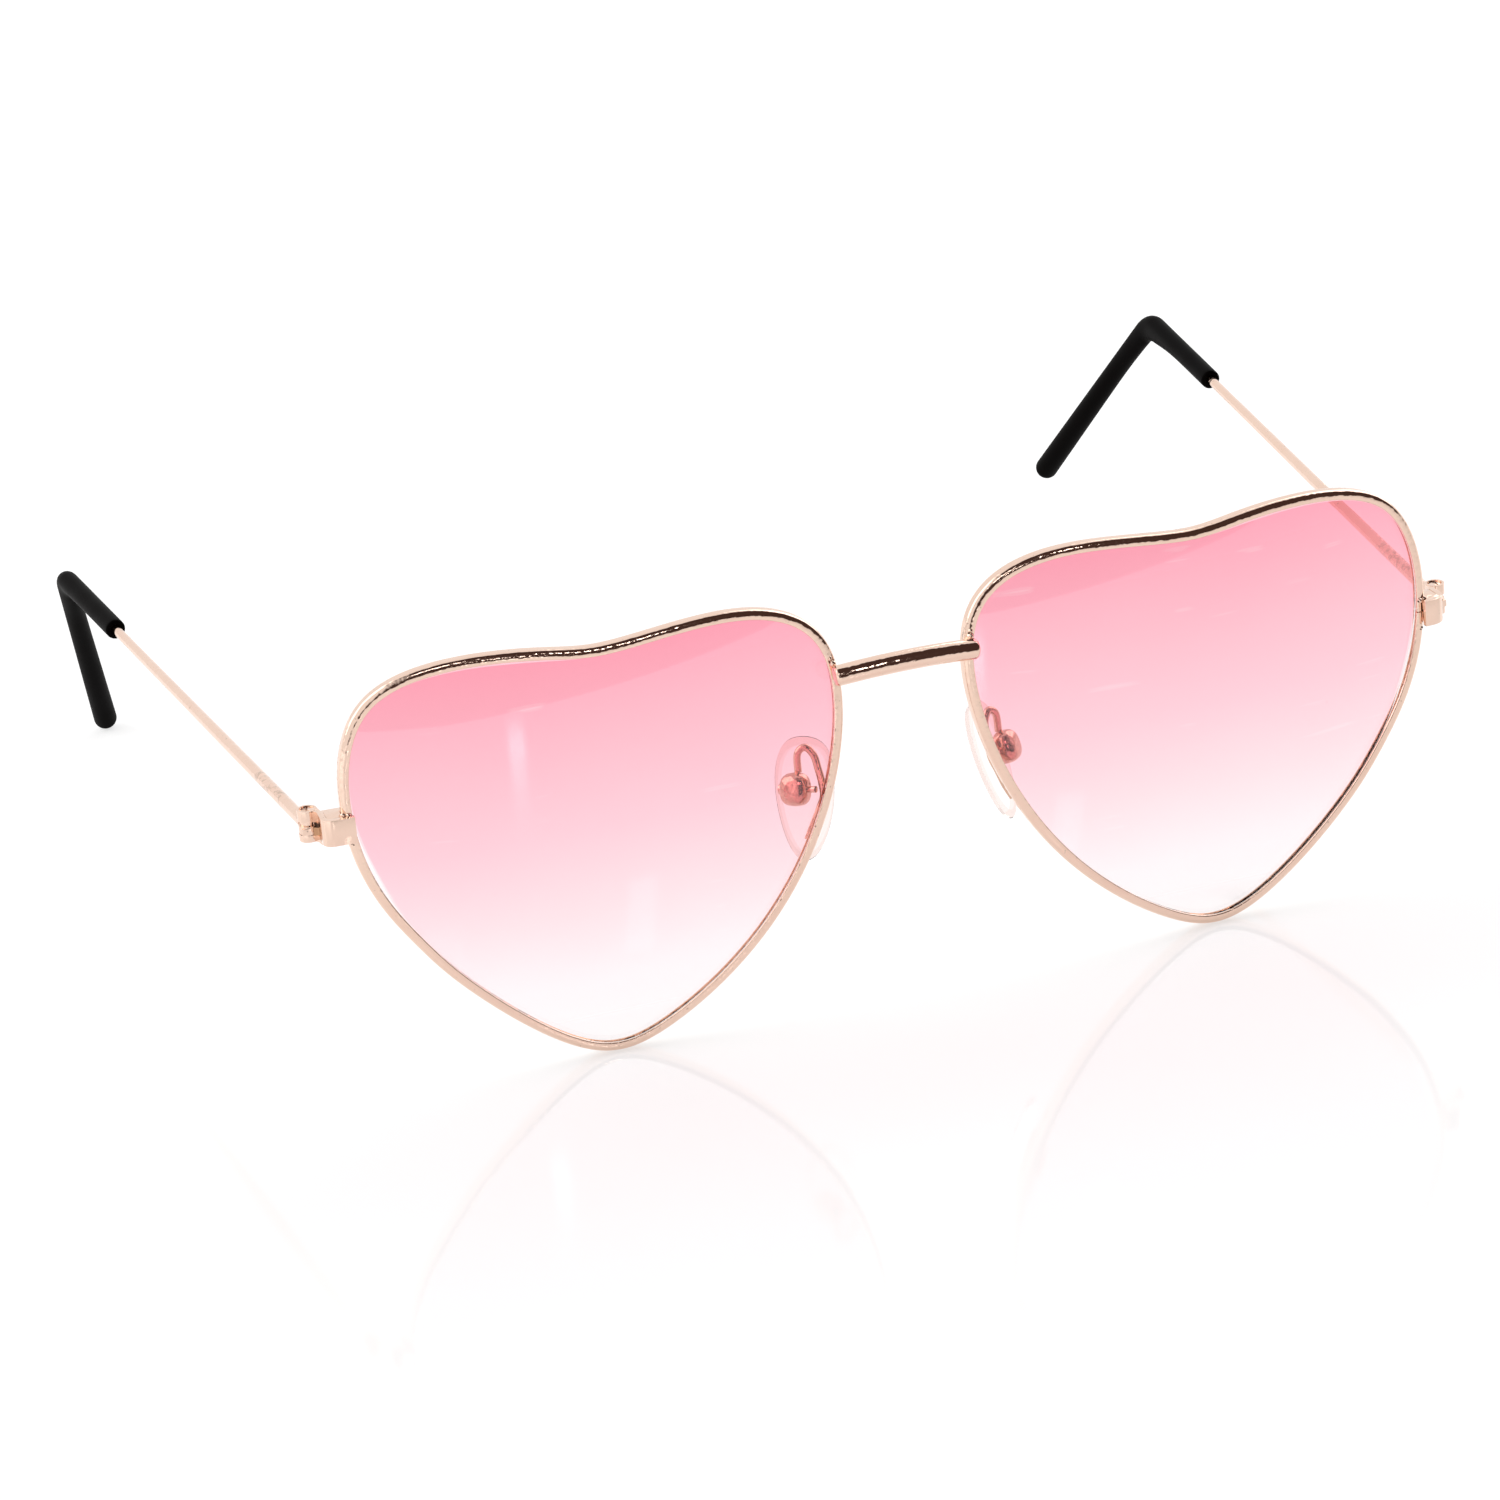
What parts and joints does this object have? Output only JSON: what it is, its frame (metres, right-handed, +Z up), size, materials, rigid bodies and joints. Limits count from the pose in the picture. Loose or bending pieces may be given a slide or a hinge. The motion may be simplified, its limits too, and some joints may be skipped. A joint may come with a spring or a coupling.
{
  "type": "heart shaped sunglasses",
  "caption": "Wire framed sunglasses with heart shaped gradient lenses, folding wire temples with bent plastic tips and rocking nose pads.",
  "frame": {"origin": "middle of the floor under the open pair, which stands on the bottoms of both hearts and on the right temple tip", "axes": "+X to the wearer's left, +Y back along the open temples, +Z up; the lenses face -Y"},
  "size_m": [0.1556, 0.1412, 0.0525],
  "materials": {
    "plated_wire": "polished rose gold plating",
    "plated_screw": "polished plated steel",
    "lens_tint": "pink gradient plastic, darker at the top",
    "tip_plastic": "black plastic with a soft gloss",
    "pad_clear": "clear soft plastic"
  },
  "bodies": {
    "front": {"bridge": "plated_wire", "right_eye_wire": "plated_wire", "right_lens": "lens_tint", "right_end_piece": "plated_wire", "right_lock_upper": "plated_wire", "right_lock_lower": "plated_wire", "right_lock_screw": "plated_screw", "right_hinge_screw": "plated_screw", "right_pad_arm": "plated_wire", "right_pad_box": "plated_wire", "right_pad_screw": "plated_screw", "left_eye_wire": "plated_wire", "left_lens": "lens_tint", "left_end_piece": "plated_wire", "left_lock_upper": "plated_wire", "left_lock_lower": "plated_wire", "left_lock_screw": "plated_screw", "left_hinge_screw": "plated_screw", "left_pad_arm": "plated_wire", "left_pad_box": "plated_wire", "left_pad_screw": "plated_screw"},
    "right_temple": {"right_temple_hinge": "plated_wire", "right_temple_wire": "plated_wire", "right_temple_tip": "tip_plastic"},
    "left_temple": {"left_temple_hinge": "plated_wire", "left_temple_wire": "plated_wire", "left_temple_tip": "tip_plastic"},
    "right_pad": {"right_nose_pad": "pad_clear"},
    "left_pad": {"left_nose_pad": "pad_clear"}
  },
  "joints": [
    {"name": "right_temple_fold", "type": "hinge", "parent": "front", "child": "right_temple", "pos_m": [-0.07113, -0.06042, 0.03346], "axis": [0, 0, -1], "range_deg": [0, 87]},
    {"name": "left_temple_fold", "type": "hinge", "parent": "front", "child": "left_temple", "pos_m": [0.07113, -0.06042, 0.03346], "axis": [0, 0, 1], "range_deg": [0, 87]},
    {"name": "right_pad_rock", "type": "hinge", "parent": "front", "child": "right_pad", "pos_m": [-0.01323, -0.06391, 0.02737], "axis": [-0.6584, 0.7411, -0.1316], "range_deg": [-8, 8]},
    {"name": "left_pad_rock", "type": "hinge", "parent": "front", "child": "left_pad", "pos_m": [0.01323, -0.06391, 0.02737], "axis": [0.6584, 0.7411, -0.1316], "range_deg": [-8, 8]}
  ]
}
